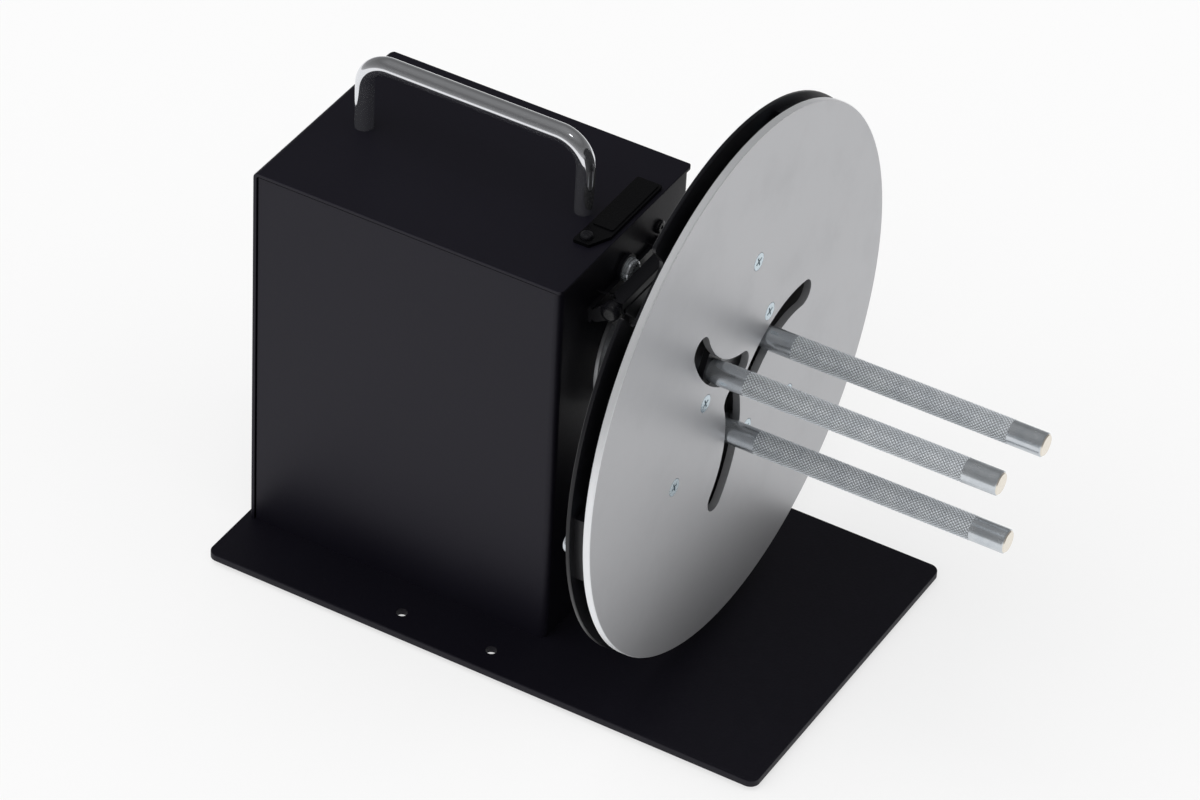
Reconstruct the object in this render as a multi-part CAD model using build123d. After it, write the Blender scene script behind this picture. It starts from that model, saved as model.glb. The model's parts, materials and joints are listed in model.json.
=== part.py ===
from build123d import *
import os
from math import atan2, cos, degrees, hypot, radians, sin

os.makedirs("parts", exist_ok=True)

# Frame: +X runs along the spindle towards the free ends of the core pins,
# +Y away from a person facing the long side, +Z up. Shapes are drawn with x = 0
# over the middle of the base plate; save() then moves them along X so that the
# origin lies on the bench under the middle of the whole machine. Millimetres.

# ---- clearances -------------------------------------------------------------
thread_gap = 0.03        # screw shank in its own hole
run_gap = 0.05           # shaft, pin or bush turning in its bore
slide_gap = 0.08         # faces that slide past each other
air = 0.35               # free space between parts on different bodies
past = 1.0               # how far a cutter runs out past the face it cuts

# ---- screws -----------------------------------------------------------------
m5 = 2.5
m4 = 2.0
m3 = 1.5
m2 = 1.25
csk_radius = 3.7
csk_rim = 3.5                                    # edge of the flat screw heads
csk_depth = 2.2
nut_height = 3.2
nut_across = 7.0
recess_depth = 1.3
recess_reach = 2.0
recess_width = 0.75
recess_turn = 20.0

# ---- base plate -------------------------------------------------------------
pad_height = 2.0
pad_radius = 9.0
pad_inset = 14.0
base_length = 243.0
base_width = 148.5
base_thick = 3.0
base_corner = 4.0
base_edge = 0.5
base_hole_radius = 2.25
base_hole_middle_x = -19.3
base_hole_pitch_x = 40.0
base_hole_pitch_y = 126.8
base_top = pad_height + base_thick

# ---- the spindle stands so high that the discs clear the base plate -----------
disc_radius = 110.0
rim_overhang = 0.4                               # rear disc past the front disc
disc_clearance = 6.7
axis_z = base_top + disc_clearance + disc_radius + rim_overhang
axis_drop = 49.7                                 # spindle below the top of the housing

# ---- sheet housing ----------------------------------------------------------
sheet = 1.5
house_left = -118.5
house_right = 15.2
house_half_width = 47.7
house_top = axis_z + axis_drop
cover_bend = 2.5
cover_corner = 4.0
cover_edge = 0.35
cover_overhang = 0.5                             # cover stands out past the walls
cover_seam = 0.7                                 # open seam under the cover's edges
cover_foot_gap = 0.4
wall_right = house_right - cover_seam            # outer face of the spindle wall
wall_half_width = house_half_width - cover_overhang
wall_top = house_top - sheet - cover_seam
wall_left = house_left + sheet + cover_seam
wall_bend = 3.0
wall_flange = 12.0
wall_inside = wall_right - sheet
lip_height = 12.0
end_lip_width = 14.0
lip_end_gap = 3.0
foot_screw_inset = 18.0
cover_screw_y = 25.3
cover_screw_drop = 15.4                          # below the top of the cover
cover_tab_margin = 10.5
cover_head = 2.8
cover_head_height = 1.3
cover_shank = 7.5
back_screw_inset = 10.0
back_screw_margin = 28.0
clinch_radius = 3.0
clinch_length = 3.0

# ---- spindle ----------------------------------------------------------------
shaft_radius = 7.5
shaft_past_cover = 12.3
shaft_chamfer = 0.8
wall_bore = 10.0
bearing_outer = 16.0
bearing_width = 9.0
race_wall = 2.6
ball_radius = 2.3
ball_play = 0.06
ball_count = 9
unit_boss = 20.0
unit_flange = 4.0
unit_lobe = 7.0
unit_shoulder = 13.0
unit_bolt_offset = 31.0
unit_bolt_head = 4.6
unit_bolt_head_height = 2.4
bolt_tip = 5.0                                   # bolt end past the face under its nut
bolt_nut_height = 4.0
bolt_nut_across = 8.0
bolt_washer = 0.9
bolt_washer_radius = 4.9
collar_radius = 12.0
collar_width = 8.0
bracket_inset = 14.5                             # from the crank end of the cover
bracket_thick = 3.0
bracket_half_width = 27.0
bracket_foot = 24.0
bracket_above_bolt = 9.0
bracket_corner = 10.0
bracket_screw_y = 18.0
grub_seat = 0.02
grub_recess = 0.5
grub_socket = 2.0
shaft_left = house_left - shaft_past_cover

# ---- crank ------------------------------------------------------------------
crank_radius = 72.0
crank_angle = -42.0
crank_thick = 5.5
crank_hub = 10.0
crank_tip = 8.0
crank_flat = 6.0
crank_setback = 0.2                              # arm stands out past the shaft end
crank_clearance = 2.0                            # crank boss to the cover
crank_edge = 0.8
crank_washer_radius = 9.0
crank_washer_thick = 1.2
crank_bolt_radius = 3.0
crank_bolt_head = 5.2
crank_bolt_head_height = 2.4
crank_bolt_length = 15.0
knob_length = 26.5
knob_pin_radius = 4.0
knob_neck = 7.5
knob_belly = 10.8
knob_rise = 9.2
knob_crown = 10.2
knob_end = 7.6
knob_mouth = 6.8
knob_mouth_depth = 4.5
knob_bolt_head = 6.3
knob_bolt_head_height = 2.9
knob_thread = 3.0
knob_socket = 5.0

# ---- discs and core holder --------------------------------------------------
front_face = 66.0
front_thick = 3.0
disc_gap = 5.4                                   # between the two discs
rear_thick = 1.5
disc_edge = 0.3
front_back = front_face - front_thick
rear_front = front_back - disc_gap
rear_back = rear_front - rear_thick
rear_radius = disc_radius + rim_overhang
hub_spigot = 34.0
hub_spigot_rise = 0.1
hub_flange = 40.0
hub_flange_thick = 6.1
hub_boss = 15.0
hub_screw_radius = 28.0
hub_screw_angle = 45.2
shaft_in_flange = 4.0
hub_grub_pitch = 10.0
standoff_radius = 4.0
hub_flange_left = rear_back - hub_flange_thick
shaft_right = hub_flange_left + shaft_in_flange

pivot_circle = 51.0
pivot_angle = -38.7                              # pivot of the first arm
core_smallest = 7.6
arm_reach = pivot_circle - core_smallest
arm_rest = 25.1                                  # swing of the arms in the photo
arm_closed = 2.6
arm_open = 60.4
arm_thick = 2.5
arm_behind_disc = 1.2
arm_front = front_back - arm_behind_disc
arm_back = arm_front - arm_thick
arm_tip = 6.3
arm_pivot = 8.0
arm_tail = 5.4
tail_reach = 18.0
tail_bend = 121.0
sleeve_radius = 4.0
sleeve_flange = 6.5
sleeve_flange_thick = 1.0
spacer_radius = 7.0
pin_radius = 4.9
pin_reach = 116.0                                # pin end beyond the front disc
pin_step = 0.6                                   # neck ends just past the disc
pin_chamfer = 0.8
pin_shank = 3.0
pin_neck = 4.5
follower_radius = 3.0
follower_shank = 2.0
follower_rise = 0.2
slot_half = 5.5
slot_closed = 2.0
slot_open = 61.2
pin_end = front_face + pin_reach

# ---- rim of the rear disc ---------------------------------------------------
block_angle = 66.3
block_half_angle = 8.2
block_inset = 3.5
block_width = 10.5
block_screw_inset = 3.1
block_screw_head = 3.9
block_head_height = 3.6
block_head_edge = 1.6
block_screw_short = 0.3
glide_thick = 1.5
notch_middle = 129.0
notch_half_width = 13.0
notch_depth = 15.0
notch_round = 4.0
notch_lip = 2.5
block_outer = disc_radius - block_inset
block_inner = block_outer - block_width
block_screw_radius = block_outer - block_screw_inset

# ---- brake ------------------------------------------------------------------
brake_disc_radius = 30.0
brake_disc_off_wall = 5.5
brake_disc_thick = 2.0
brake_pin_off_disc = 2.3
brake_screw_circle = 11.3
brake_screw_angle = 30.0
brake_screw_head = 2.6
brake_screw_head_height = 1.6
brake_screw_length = 6.0
brake_disc_left = wall_right + brake_disc_off_wall
brake_disc_right = brake_disc_left + brake_disc_thick
brake_pin_x = brake_disc_right + brake_pin_off_disc
brake_pin_z = brake_disc_radius + 1.8            # heights of the brake count from the spindle
brake_pin_radius = 1.5
brake_dome_radius = 4.0
brake_dome_length = 3.0
brake_half_width = 24.5
lever_above_pin = 3.4
lever_top = brake_pin_z + lever_above_pin
lever_sheet = 1.2
lever_reach = 7.75                               # from the back of the brake disc
lever_depth = 5.95
lever_corner = 4.0
lever_bend = 0.6
lever_lip = 3.4
pad_gap = 0.15
pad_thick = 1.3
pad_below_rim = 3.0
pad_height_z = 10.0
pad_half_width = 14.0
pad_rim_inset = 0.5
tongue_half = 17.0
tongue_corner = 4.0
cheek_drop = 10.7                                # below the top of the lever
clamp_groove = 0.8
clamp_margin = 4.0
clamp_corner = 1.5
clamp_edge = 0.4
clamp_shoulder_drop = 2.5
clamp_knee_rise = 3.5
clamp_tip_half = 13.0
clamp_screw_y = 10.0
clamp_screw_rise = 4.5
clamp_screw_head = 2.4
clamp_screw_head_height = 1.3
spring_wire = 0.25
spring_play = 0.12
spring_turns = 5.25
spring_pitch = 0.95
spring_leg = 7.0
spring_room = 0.3
spring_ys = (-15.0, 20.0)
ear_sheet = 1.5
ear_radius = 3.6
ear_root_radius = 2.5
ear_root_x = 3.0
ear_root_drop = 3.5
strip_rise = 6.2
strip_below_rim = 7.0
tab_radius = 6.0
clip_radius = 3.2
clip_thick = 0.8
clip_gap = 0.4
pin_tail = 2.5

# ---- carry handle and badge -------------------------------------------------
handle_pitch = 96.0
handle_to_badge = 6.7
handle_rise = 31.0
handle_radius = 3.75
handle_bend = 11.5
handle_screw_head = 3.5
handle_screw_head_height = 2.6
handle_screw_depth = 11.0
handle_washer_radius = 4.5
handle_washer_thick = 0.8
badge_edge_inset = 1.6
badge_width = 10.8
badge_near = -19.0
badge_far = 28.0
badge_thick = 1.4
badge_toe = 6.5
badge_slant = 9.0
badge_heel = 12.0
badge_spur = 0.4
badge_corner = 0.8
panel_margin = 1.0
panel_thick = 0.5
badge_screw_inset = 3.2
badge_screw_near = 4.2
badge_screw_head = 2.5
badge_screw_head_height = 1.5
badge_right = house_right - badge_edge_inset
badge_left = badge_right - badge_width
handle_feet = [badge_left - handle_to_badge - handle_pitch, badge_left - handle_to_badge]

# ---- crank end, and the middle of the whole machine ---------------------------
crank_outer = shaft_left - crank_setback
crank_inner = crank_outer + crank_thick
knob_right = crank_outer - air
knob_left = knob_right - knob_length
machine_middle_x = (knob_left + pin_end) / 2


# ---- shapes used more than once --------------------------------------------
def box(x0, x1, y0, y1, z0, z1):
    middle = Pos((x0 + x1) / 2, (y0 + y1) / 2, (z0 + z1) / 2)
    return middle * Box(abs(x1 - x0), abs(y1 - y0), abs(z1 - z0))


def rod_x(x0, x1, radius, y=0.0, z=axis_z):
    return Pos((x0 + x1) / 2, y, z) * Rot(0, 90, 0) * Cylinder(radius, abs(x1 - x0))


def rod_y(y0, y1, radius, x, z):
    return Pos(x, (y0 + y1) / 2, z) * Rot(90, 0, 0) * Cylinder(radius, abs(y1 - y0))


def rod_z(z0, z1, radius, x, y):
    return Pos(x, y, (z0 + z1) / 2) * Cylinder(radius, abs(z1 - z0))


def tube_x(x0, x1, outer, inner, y=0.0, z=axis_z):
    return rod_x(x0, x1, outer, y, z) - rod_x(x0 - past, x1 + past, inner, y, z)


def bore_z(z0, z1, radius, x, y):
    return rod_z(z0 - past, z1 + past, radius + thread_gap, x, y)


def bore_x(x0, x1, radius, y, z):
    return rod_x(x0 - past, x1 + past, radius + thread_gap, y, z)


def hex_x(x0, x1, across, y, z):
    prism = extrude(RegularPolygon(across / 2, 6, major_radius=False), (x1 - x0) / 2, both=True)
    return Pos((x0 + x1) / 2, y, z) * Rot(0, 90, 0) * prism


def hex_z(z0, z1, across, x, y):
    prism = extrude(RegularPolygon(across / 2, 6, major_radius=False), (z1 - z0) / 2, both=True)
    return Pos(x, y, (z0 + z1) / 2) * prism


def polar(radius, angle):
    return radius * cos(radians(angle)), radius * sin(radians(angle))


def around(first, count=3):
    return [first + 360.0 / count * k for k in range(count)]


def at_axis(y, z):
    return y, axis_z + z


def ring_spots(radius, first, count=3):
    return [at_axis(*polar(radius, angle)) for angle in around(first, count)]


def plate(x0, x1, outline):
    """Outline drawn round the spindle, extruded from x0 to x1."""
    face = Plane(origin=(x0, 0, axis_z), x_dir=(0, 1, 0), z_dir=(1, 0, 0))
    return extrude(face * outline, amount=x1 - x0)


def bar(start, start_radius, end, end_radius):
    circles = (Pos(*start) * Circle(start_radius)).edges() + (Pos(*end) * Circle(end_radius)).edges()
    return make_hull(circles)


def cone_x(x0, x1, r0, r1, y, z):
    return Pos((x0 + x1) / 2, y, z) * Rot(0, 90, 0) * Cone(r0, r1, x1 - x0)


def cross_recess(face, y, z):
    """Crossed slots for a screwdriver in a head that ends at x = face."""
    blades = [Box(recess_depth + past, 2 * recess_reach, recess_width),
              Box(recess_depth + past, recess_width, 2 * recess_reach)]
    return Pos(face + (past - recess_depth) / 2, y, z) * Rot(recess_turn, 0, 0) * (blades[0] + blades[1])


def csk_screw_x(face, tip, y, z, radius=m4):
    head = cone_x(face - csk_depth, face, radius, csk_radius, y, z)
    head &= rod_x(face - csk_depth, face, csk_rim, y, z)
    return head + rod_x(tip, face - csk_depth, radius, y, z) - cross_recess(face, y, z)


def csk_hole_x(face, back, y, z, radius=m4):
    sink = cone_x(face - csk_depth, face, radius + thread_gap, csk_radius + thread_gap, y, z)
    return sink + rod_x(back - past, face - csk_depth, radius + thread_gap, y, z)


def button_screw_x(seat, tip, y, z, radius, head, height):
    """Button head on the +X side of its seat."""
    dome = rod_x(seat, seat + height, head, y, z)
    dome = fillet(dome.edges().group_by(Axis.X)[-1], 0.7 * height)
    socket = hex_x(seat + 0.45 * height, seat + height + past, 1.15 * radius, y, z)
    return dome - socket + rod_x(tip, seat, radius, y, z)


def save(name, *solids):
    placed = [Pos(-machine_middle_x, 0, 0) * solid for solid in solids]
    shape = placed[0] if len(placed) == 1 else Compound(children=placed)
    export_step(shape, "parts/" + name + ".step")


# ---- base -------------------------------------------------------------------
bracket_x = house_left + bracket_inset
flange_top = base_top + sheet
bracket_foot_top = base_top + bracket_thick
foot_screw_y = wall_half_width - sheet - wall_flange / 2
base_screw_spots = [(x, side * foot_screw_y)
                    for x in (wall_left + foot_screw_inset, wall_inside - foot_screw_inset) for side in (-1, 1)]
bracket_screw_x = bracket_x + (bracket_thick + bracket_foot) / 2
bracket_screw_spots = [(bracket_screw_x, side * bracket_screw_y) for side in (-1, 1)]
mount_spots = [(base_hole_middle_x + i * base_hole_pitch_x / 2, j * base_hole_pitch_y / 2)
               for i in (-1, 1) for j in (-1, 1)]
pad_spots = [(i * (base_length / 2 - pad_inset), j * (base_width / 2 - pad_inset))
             for i in (-1, 1) for j in (-1, 1)]
screwed_down = [(spot, flange_top) for spot in base_screw_spots]
screwed_down += [(spot, bracket_foot_top) for spot in bracket_screw_spots]


def csk_hole_up(x, y):
    sink = Pos(x, y, pad_height + csk_depth / 2) * Cone(csk_radius + thread_gap, m4 + thread_gap, csk_depth)
    return sink + bore_z(pad_height + past, base_top, m4, x, y)


def csk_screw_up(x, y, top):
    head = Pos(x, y, pad_height + csk_depth / 2) * Cone(csk_radius, m4, csk_depth)
    return head + rod_z(pad_height + csk_depth, top, m4, x, y)


def nut_z(bottom, x, y):
    return hex_z(bottom, bottom + nut_height, nut_across, x, y) - bore_z(bottom, bottom + nut_height, m4, x, y)


base_plate = box(-base_length / 2, base_length / 2, -base_width / 2, base_width / 2, pad_height, base_top)
base_plate = fillet(base_plate.edges().filter_by(Axis.Z), base_corner)
base_plate = fillet(base_plate.faces().sort_by(Axis.Z)[-1].edges(), base_edge)
for spot in mount_spots:
    base_plate -= rod_z(pad_height - past, base_top + past, base_hole_radius, *spot)
for spot, top in screwed_down:
    base_plate -= csk_hole_up(*spot)
save("base_plate", base_plate)
save("rubber_pads", *[rod_z(0, pad_height, pad_radius, *spot) for spot in pad_spots])
save("base_screws", *[csk_screw_up(*spot, top + nut_height + past) for spot, top in screwed_down])
save("base_nuts", *[nut_z(top, *spot) for spot, top in screwed_down])

# ---- housing walls, one sheet bent round three sides ------------------------
unit_bolt_spots = [at_axis(0, unit_bolt_offset), at_axis(0, -unit_bolt_offset)]
cover_screw_z = house_top - cover_screw_drop
back_screw_x = house_left + back_screw_inset
back_screw_spots = [(back_screw_x, z) for z in (base_top + back_screw_margin, house_top - back_screw_margin)]

walls_outside = box(wall_left, wall_right, -wall_half_width, wall_half_width, base_top, wall_top)
walls_outside = fillet(walls_outside.edges().filter_by(Axis.Z).group_by(Axis.X)[-1], wall_bend)
walls_inside = box(wall_left - past, wall_inside, -wall_half_width + sheet, wall_half_width - sheet,
                   flange_top, wall_top + past)
walls_inside = fillet(walls_inside.edges().filter_by(Axis.Z).group_by(Axis.X)[-1], wall_bend - sheet)
floor_half = wall_half_width - sheet - wall_flange
floor_opening = box(wall_left - past, wall_inside - wall_flange, -floor_half, floor_half,
                    base_top - past, flange_top + past)
housing_walls = walls_outside - walls_inside - floor_opening
housing_walls -= rod_x(wall_inside - past, wall_right + past, wall_bore)
for spot in unit_bolt_spots:
    housing_walls -= bore_x(wall_inside, wall_right, m5, *spot)
housing_walls -= bore_x(wall_inside, wall_right, m3, cover_screw_y, cover_screw_z)
for spot in back_screw_spots:
    housing_walls -= rod_y(wall_half_width - sheet - past, wall_half_width + past, m3 + thread_gap, *spot)
for spot in base_screw_spots:
    housing_walls -= bore_z(base_top, flange_top, m4, *spot)
save("housing_walls", housing_walls)

# ---- housing cover: top and crank end in one bent sheet ----------------------
cover_lip_y = wall_half_width - sheet - slide_gap
tab_right = wall_inside - slide_gap
cover_under = house_top - sheet
cover_outer = box(house_left, house_right, -house_half_width, house_half_width,
                  base_top + cover_foot_gap, house_top)
crank_end_bend = cover_outer.edges().filter_by(Axis.Y).group_by(Axis.Z)[-1].group_by(Axis.X)[0]
cover_outer = fillet(crank_end_bend, cover_bend)
top_edges = cover_outer.edges().group_by(Axis.Z)[-1]
cover_outer = fillet(top_edges.filter_by(Axis.X) + top_edges.filter_by(Axis.Y).group_by(Axis.X)[-1], cover_edge)
cover_inner = box(house_left + sheet, house_right + past, -house_half_width - past, house_half_width + past,
                  base_top - past, cover_under)
inner_bend = cover_inner.edges().filter_by(Axis.Y).group_by(Axis.Z)[-1].group_by(Axis.X)[0]
cover_inner = fillet(inner_bend, cover_bend - sheet)
cover_plan = box(house_left - past, house_right, -house_half_width, house_half_width, 0, house_top + past)
cover_plan = fillet(cover_plan.edges().filter_by(Axis.Z).group_by(Axis.X)[-1], cover_corner / 2)
cut_x = house_left + cover_corner
cut_y = house_half_width - cover_corner
corner_cut = box(house_left - past, cut_x, cut_y, house_half_width + past, 0, house_top + past)
corner_cut -= rod_z(0, house_top + past, cover_corner, cut_x, cut_y)
cover = ((cover_outer - cover_inner) & cover_plan) - corner_cut
for side in (-1, 1):
    cover += box(house_left + sheet, wall_inside - lip_end_gap, side * (cover_lip_y - sheet), side * cover_lip_y,
                 cover_under - lip_height, cover_under)
    cover += box(house_left + sheet, house_left + sheet + end_lip_width, side * (cover_lip_y - sheet),
                 side * cover_lip_y, base_top + lip_end_gap, cover_under)
cover += box(tab_right - sheet, tab_right, cover_screw_y - cover_tab_margin, cover_screw_y + cover_tab_margin,
             cover_screw_z - clinch_radius - past, cover_under)
cover -= bore_x(tab_right - sheet, tab_right, m3, cover_screw_y, cover_screw_z)
for spot in back_screw_spots:
    cover -= rod_y(cover_lip_y - sheet - past, cover_lip_y + past, m3 + thread_gap, *spot)
cover -= rod_x(house_left - past, house_left + sheet + past, wall_bore)
for x in handle_feet:
    cover -= bore_z(cover_under, house_top, m4, x, 0)
badge_screw_spot = (badge_left + badge_screw_inset, badge_near + badge_screw_near)
cover -= bore_z(cover_under, house_top, m2, *badge_screw_spot)
save("housing_cover", cover)

# small black button screws of the cover, one by the disc and two at the back
cover_screws = [button_screw_x(wall_right, wall_right - cover_shank, cover_screw_y, cover_screw_z,
                               m3, cover_head, cover_head_height)]
for x, z in back_screw_spots:
    screw = button_screw_x(0, -cover_shank, 0, 0, m3, cover_head, cover_head_height)
    cover_screws.append(Pos(x, wall_half_width, z) * Rot(0, 0, 90) * screw)
save("cover_screws", *cover_screws)

# clinch nuts pressed into the cover's tab and lip
nut_face = tab_right - sheet
clinch_nuts = [tube_x(nut_face - clinch_length, nut_face, clinch_radius, m3 + thread_gap,
                      cover_screw_y, cover_screw_z)]
nut_y = cover_lip_y - sheet
for spot in back_screw_spots:
    nut = rod_y(nut_y - clinch_length, nut_y, clinch_radius, *spot)
    nut -= rod_y(nut_y - clinch_length - past, nut_y + past, m3 + thread_gap, *spot)
    clinch_nuts.append(nut)
save("clinch_nuts", *clinch_nuts)

# ---- carry handle -----------------------------------------------------------
bar_z = house_top + handle_rise
handle_left, handle_right = handle_feet
path = FilletPolyline((handle_left, 0, house_top), (handle_left, 0, bar_z),
                      (handle_right, 0, bar_z), (handle_right, 0, house_top), radius=handle_bend)
handle_section = Plane(origin=(handle_left, 0, house_top), z_dir=(0, 0, 1)) * Circle(handle_radius)
carry_handle = sweep(handle_section, path=path)
washer_bottom = cover_under - handle_washer_thick
handle_screws = []
handle_washers = []
for x in handle_feet:
    carry_handle -= bore_z(house_top, house_top + handle_screw_depth, m4, x, 0)
    head = rod_z(washer_bottom - handle_screw_head_height, washer_bottom, handle_screw_head, x, 0)
    head = fillet(head.edges().group_by(Axis.Z)[0], handle_screw_head_height / 2)
    handle_screws.append(head + rod_z(washer_bottom, house_top + handle_screw_depth, m4, x, 0))
    washer = rod_z(washer_bottom, cover_under, handle_washer_radius, x, 0)
    handle_washers.append(washer - bore_z(washer_bottom, cover_under, m4, x, 0))
save("carry_handle", carry_handle)
save("handle_screws", *handle_screws)
save("handle_washers", *handle_washers)

# ---- blank badge beside the edge of the top ----------------------------------
badge_top = house_top + badge_thick
badge_outline = Polyline((badge_left - badge_spur, badge_near), (badge_left + badge_toe, badge_near),
                         (badge_right, badge_near + badge_slant), (badge_right, badge_far),
                         (badge_left, badge_far), (badge_left, badge_near + badge_heel), close=True)
badge = Pos(0, 0, house_top) * extrude(make_face(badge_outline), badge_thick)
badge = fillet(badge.edges().filter_by(Axis.Z), badge_corner)
badge -= bore_z(house_top, badge_top, m2, *badge_screw_spot)
panel = box(badge_left + panel_margin, badge_right - panel_margin, badge_near + badge_heel,
            badge_far - panel_margin, badge_top, badge_top + panel_thick)
badge += fillet(panel.edges().filter_by(Axis.Z), badge_corner)
save("badge_plate", badge)
badge_head = rod_z(badge_top, badge_top + badge_screw_head_height, badge_screw_head, *badge_screw_spot)
badge_head = fillet(badge_head.edges().group_by(Axis.Z)[-1], 0.7 * badge_screw_head_height)
save("badge_screw", badge_head + rod_z(cover_under - past, badge_top, m2, *badge_screw_spot))


# ---- flanged bearing units ---------------------------------------------------
def bearing_unit(back, toward):
    """Cast flange against a plate at x = back, boss growing in the given direction."""
    def reach(depth):
        return back + toward * depth
    lobes = bar((0, unit_bolt_offset), unit_lobe, (0, -unit_bolt_offset), unit_lobe)
    body = plate(min(back, reach(unit_flange)), max(back, reach(unit_flange)), lobes + Circle(unit_boss + past))
    body += rod_x(back, reach(unit_flange + bearing_width + past), unit_boss)
    body -= rod_x(reach(-past), reach(unit_flange + bearing_width + 2 * past), unit_shoulder)
    body -= rod_x(reach(unit_flange), reach(unit_flange + bearing_width + 2 * past), bearing_outer + thread_gap)
    for spot in unit_bolt_spots:
        body -= bore_x(min(back, reach(unit_flange)), max(back, reach(unit_flange)), m5, *spot)
    return body


def ball_bearing(left):
    right = left + bearing_width
    inner_radius = shaft_radius + run_gap / 2
    ball_circle = (inner_radius + bearing_outer) / 2
    groove = Pos((left + right) / 2, 0, axis_z) * Rot(0, 90, 0) * Torus(ball_circle, ball_radius + ball_play)
    outer = tube_x(left, right, bearing_outer, bearing_outer - race_wall) - groove
    inner = tube_x(left, right, inner_radius + race_wall, inner_radius) - groove
    balls = [Pos((left + right) / 2, y, z) * Sphere(ball_radius)
             for y, z in ring_spots(ball_circle, 0, ball_count)]
    return outer, inner, balls


rear_unit_face = bracket_x + bracket_thick
front_bearing_left = wall_inside - unit_flange - bearing_width
rear_bearing_left = rear_unit_face + unit_flange
save("front_bearing_unit", bearing_unit(wall_inside, -1))
save("rear_bearing_unit", bearing_unit(rear_unit_face, 1))
front_outer, front_inner, front_balls = ball_bearing(front_bearing_left)
rear_outer, rear_inner, rear_balls = ball_bearing(rear_bearing_left)
save("bearing_outer_rings", front_outer, rear_outer)
save("bearing_inner_rings", front_inner, rear_inner)
save("bearing_balls", *front_balls, *rear_balls)

# rear bearing stands on its own bracket so that the cover can come off
bracket_top = axis_z + unit_bolt_offset + bracket_above_bolt
bearing_bracket = box(bracket_x, rear_unit_face, -bracket_half_width, bracket_half_width, base_top, bracket_top)
bearing_bracket = fillet(bearing_bracket.edges().filter_by(Axis.X).group_by(Axis.Z)[-1], bracket_corner)
bearing_bracket += box(bracket_x, bracket_x + bracket_foot, -bracket_half_width, bracket_half_width,
                       base_top, bracket_foot_top)
bearing_bracket -= rod_x(bracket_x - past, rear_unit_face + past, wall_bore)
for spot in unit_bolt_spots:
    bearing_bracket -= bore_x(bracket_x, rear_unit_face, m5, *spot)
for spot in bracket_screw_spots:
    bearing_bracket -= bore_z(base_top, bracket_foot_top, m4, *spot)
save("bearing_bracket", bearing_bracket)

# ---- brake bracket shares the upper bolt of the front bearing -----------------
top_bolt = unit_bolt_spots[0]
ear_seat = wall_right + ear_sheet
ear_inner = brake_half_width + air
ear_outer = ear_inner + ear_sheet
strip_bottom = axis_z + brake_disc_radius - strip_below_rim
strip_top = strip_bottom + strip_rise
brake_bracket = box(wall_right, ear_seat, -ear_outer, ear_outer, strip_bottom, strip_top)
brake_bracket += box(wall_right, ear_seat, -tab_radius, tab_radius, strip_bottom, axis_z + unit_bolt_offset)
brake_bracket += rod_x(wall_right, ear_seat, tab_radius, *top_bolt)
ear_root = (wall_right + ear_root_x, brake_disc_radius - ear_root_drop)
ear_outline = bar((brake_pin_x, brake_pin_z), ear_radius, ear_root, ear_root_radius)
for side in (-1, 1):
    ear_plane = Plane(origin=(0, side * ear_inner, axis_z), x_dir=(1, 0, 0), z_dir=(0, -1, 0))
    ear = extrude(ear_plane * ear_outline, -side * ear_sheet)
    brake_bracket += ear - box(0, wall_right, -base_width, base_width, 0, house_top)
brake_bracket -= rod_y(-ear_outer - past, ear_outer + past, brake_pin_radius + thread_gap,
                       brake_pin_x, axis_z + brake_pin_z)
brake_bracket -= bore_x(wall_right, ear_seat, m5, *top_bolt)
save("brake_bracket", brake_bracket)

unit_bolts = []
unit_washers = []
unit_nuts = []


def unit_nut(right, spot):
    nut = hex_x(right - bolt_nut_height, right, bolt_nut_across, *spot)
    return nut - bore_x(right - bolt_nut_height, right, m5, *spot)


def unit_bolt(seat, nut_right, spot):
    return button_screw_x(seat, nut_right - bolt_tip, *spot, m5, unit_bolt_head, unit_bolt_head_height)


front_nut_right = wall_inside - unit_flange
for seat, spot in zip((ear_seat, wall_right), unit_bolt_spots):
    unit_washers.append(tube_x(seat, seat + bolt_washer, bolt_washer_radius, m5 + thread_gap, *spot))
    unit_bolts.append(unit_bolt(seat + bolt_washer, front_nut_right, spot))
    unit_nuts.append(unit_nut(front_nut_right, spot))
for spot in unit_bolt_spots:
    unit_bolts.append(unit_bolt(rear_unit_face + unit_flange, bracket_x, spot))
    unit_nuts.append(unit_nut(bracket_x, spot))
save("bearing_bolts", *unit_bolts)
save("bearing_washers", *unit_washers)
save("bearing_nuts", *unit_nuts)


# ---- spindle shaft, collars, crank --------------------------------------------
def flat_cut(gap):
    return box(shaft_left - past, house_left - past, -collar_radius, collar_radius,
               axis_z + crank_flat + gap, axis_z + 2 * collar_radius)


def grub_screw(x, outer_radius):
    top = axis_z + outer_radius - grub_recess
    grub = rod_z(axis_z + shaft_radius + grub_seat, top, m4, x, 0)
    return grub - hex_z(top - grub_socket, top + past, grub_socket, x, 0)


def grub_hole(x, outer_radius):
    return rod_z(axis_z, axis_z + outer_radius + past, m4 + thread_gap, x, 0)


shaft = rod_x(shaft_left, shaft_right, shaft_radius)
shaft = chamfer(shaft.edges().sort_by(Axis.X)[-1], shaft_chamfer)
shaft -= flat_cut(0)
shaft -= rod_x(shaft_left - past, shaft_left + crank_bolt_length + past, crank_bolt_radius + thread_gap)
save("spindle_shaft", shaft)

collars = []
grubs = []
for left in (front_bearing_left - collar_width, rear_bearing_left + bearing_width):
    middle = left + collar_width / 2
    collar = tube_x(left, left + collar_width, collar_radius, shaft_radius + thread_gap)
    collars.append(collar - grub_hole(middle, collar_radius))
    grubs.append(grub_screw(middle, collar_radius))
save("shaft_collars", *collars)

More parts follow.
